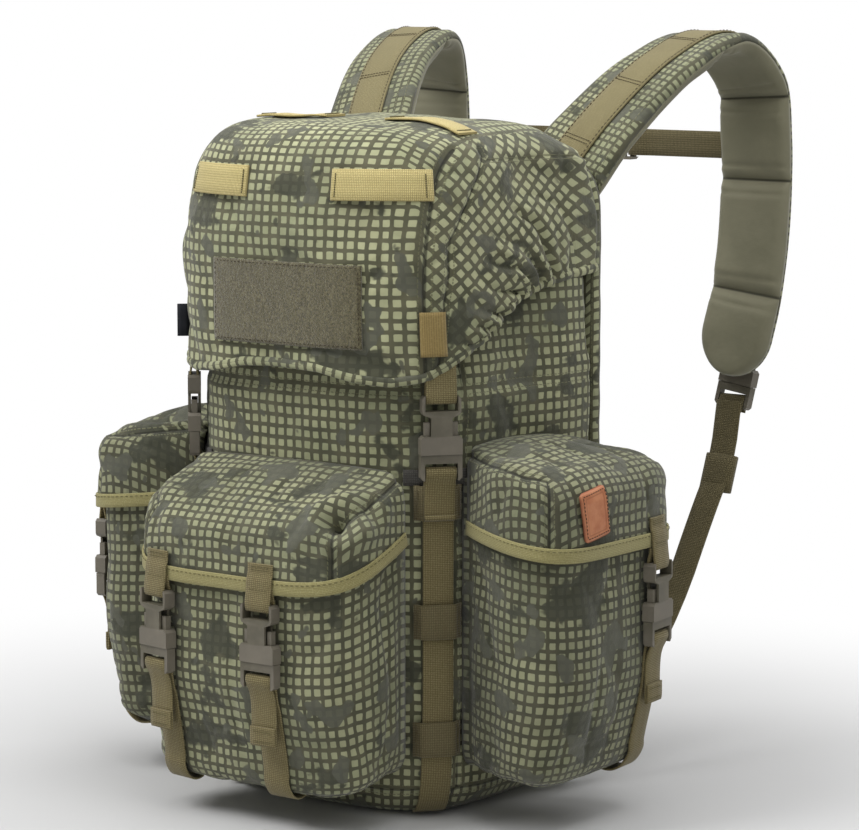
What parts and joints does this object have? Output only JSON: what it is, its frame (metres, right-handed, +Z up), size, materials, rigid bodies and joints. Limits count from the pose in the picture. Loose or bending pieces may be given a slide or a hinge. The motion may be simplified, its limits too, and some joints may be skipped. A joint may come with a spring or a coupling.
{
  "type": "hunting backpack",
  "caption": "Soft hunting backpack with a buckled lid, a front pocket and side pockets under buckled flaps, padded shoulder straps with a chest strap, and a padded back.",
  "frame": {"origin": "middle of the main bag's flat base, on the ground it stands on", "axes": "+Z up, the front pocket faces -Y, the shoulder harness is on the +Y side, +X is the side of the pocket with the leather patch"},
  "size_m": [0.441, 0.4572, 0.5374],
  "materials": {
    "camo_cloth": "woven, night grid print",
    "frame_plastic": "moulded",
    "padding": "padded nylon",
    "hook_loop": "loop pile",
    "leather": "smooth, stitched",
    "buckle": "moulded",
    "dark_webbing": "woven tape",
    "webbing": "woven tape"
  },
  "bodies": {
    "pack": {"main_bag": "camo_cloth", "frame_sheet": "frame_plastic", "back_panel": "padding", "haul_loop": "webbing", "front_pocket": "camo_cloth", "right_pocket": "camo_cloth", "left_pocket": "camo_cloth", "front_pocket_1_strap": "webbing", "front_pocket_2_strap": "webbing", "right_pocket_strap": "webbing", "left_pocket_strap": "webbing", "lid_strap_left": "webbing", "lid_strap_right": "webbing", "lid_strap_keepers_left": "dark_webbing", "lid_strap_keepers_right": "dark_webbing", "lower_strap_left": "dark_webbing", "lower_strap_right": "dark_webbing", "lower_strap_keeper_left": "dark_webbing", "lower_strap_keeper_right": "dark_webbing"},
    "lid": {"lid": "camo_cloth", "loop_panel": "hook_loop", "lid_label": "webbing", "lid_loop_front_left": "webbing", "lid_loop_front_right": "webbing", "lid_loop_top_left": "webbing", "lid_loop_top_right": "webbing", "lid_tab_left": "webbing", "lid_tab_right": "webbing", "lid_left_female": "buckle", "lid_right_female": "buckle"},
    "front_flap": {"front_flap": "camo_cloth", "front_flap_trim": "webbing", "front_pocket_1_female": "buckle", "front_pocket_2_female": "buckle"},
    "right_flap": {"right_flap": "camo_cloth", "right_flap_trim": "webbing", "right_pocket_female": "buckle", "leather_patch": "leather"},
    "left_flap": {"left_flap": "camo_cloth", "left_flap_trim": "webbing", "left_pocket_female": "buckle"},
    "harness": {"shoulder_strap_left": "padding", "shoulder_strap_right": "padding", "shoulder_tape_left": "webbing", "shoulder_tape_right": "webbing", "shoulder_left_female": "buckle", "shoulder_right_female": "buckle", "sternum_strap_left": "dark_webbing", "sternum_strap_right": "dark_webbing", "sternum_female": "buckle"},
    "front_pocket_1_male": {"front_pocket_1_male": "buckle"},
    "front_pocket_2_male": {"front_pocket_2_male": "buckle"},
    "right_pocket_male": {"right_pocket_male": "buckle"},
    "left_pocket_male": {"left_pocket_male": "buckle"},
    "lid_left_male": {"lid_left_male": "buckle"},
    "lid_right_male": {"lid_right_male": "buckle"},
    "shoulder_left_male": {"shoulder_left_male": "buckle"},
    "shoulder_right_male": {"shoulder_right_male": "buckle"},
    "sternum_male": {"sternum_male": "buckle"}
  },
  "joints": [
    {"name": "lid_hinge", "type": "hinge", "parent": "pack", "child": "lid", "pos_m": [0, 0.0847, 0.455], "axis": [-1, 0, 0], "range_deg": [0, 90]},
    {"name": "front_flap_hinge", "type": "hinge", "parent": "pack", "child": "front_flap", "pos_m": [0, -0.0883, 0.2498], "axis": [-1, 0, 0], "range_deg": [0, 75]},
    {"name": "right_flap_hinge", "type": "hinge", "parent": "pack", "child": "right_flap", "pos_m": [0.1173, 0, 0.2646], "axis": [0, -1, 0], "range_deg": [0, 75], "deforming": ["right_flap_trim"]},
    {"name": "left_flap_hinge", "type": "hinge", "parent": "pack", "child": "left_flap", "pos_m": [-0.1173, 0, 0.2646], "axis": [0, 1, 0], "range_deg": [0, 75], "deforming": ["left_flap_trim"]},
    {"name": "harness_fold", "type": "hinge", "parent": "pack", "child": "harness", "pos_m": [0, 0.0975, 0.4154], "axis": [-1, 0, 0], "range_deg": [0, 40], "deforming": ["lower_strap_left", "lower_strap_keeper_left", "lower_strap_right", "lower_strap_keeper_right"]},
    {"name": "front_pocket_1_release", "type": "slide", "parent": "pack", "child": "front_pocket_1_male", "axis": [0, 0, -1], "range_m": [0, 0.024], "deforming": ["front_pocket_1_strap"]},
    {"name": "front_pocket_2_release", "type": "slide", "parent": "pack", "child": "front_pocket_2_male", "axis": [0, 0, -1], "range_m": [0, 0.024], "deforming": ["front_pocket_2_strap"]},
    {"name": "right_pocket_release", "type": "slide", "parent": "pack", "child": "right_pocket_male", "axis": [0, 0, -1], "range_m": [0, 0.024], "deforming": ["right_pocket_strap"]},
    {"name": "left_pocket_release", "type": "slide", "parent": "pack", "child": "left_pocket_male", "axis": [0, 0, -1], "range_m": [0, 0.024], "deforming": ["left_pocket_strap"]},
    {"name": "lid_left_release", "type": "slide", "parent": "pack", "child": "lid_left_male", "axis": [0, 0, -1], "range_m": [0, 0.024], "deforming": ["lid_strap_left"]},
    {"name": "lid_right_release", "type": "slide", "parent": "pack", "child": "lid_right_male", "axis": [0, 0, -1], "range_m": [0, 0.024], "deforming": ["lid_strap_right"]},
    {"name": "shoulder_left_release", "type": "slide", "parent": "harness", "child": "shoulder_left_male", "axis": [0.141, -0.1516, -0.9783], "range_m": [0, 0.024]},
    {"name": "shoulder_right_release", "type": "slide", "parent": "harness", "child": "shoulder_right_male", "axis": [-0.141, -0.1516, -0.9783], "range_m": [0, 0.024]},
    {"name": "sternum_release", "type": "slide", "parent": "harness", "child": "sternum_male", "axis": [-1, 0, 0], "range_m": [0, 0.024], "deforming": ["sternum_strap_left"]}
  ]
}
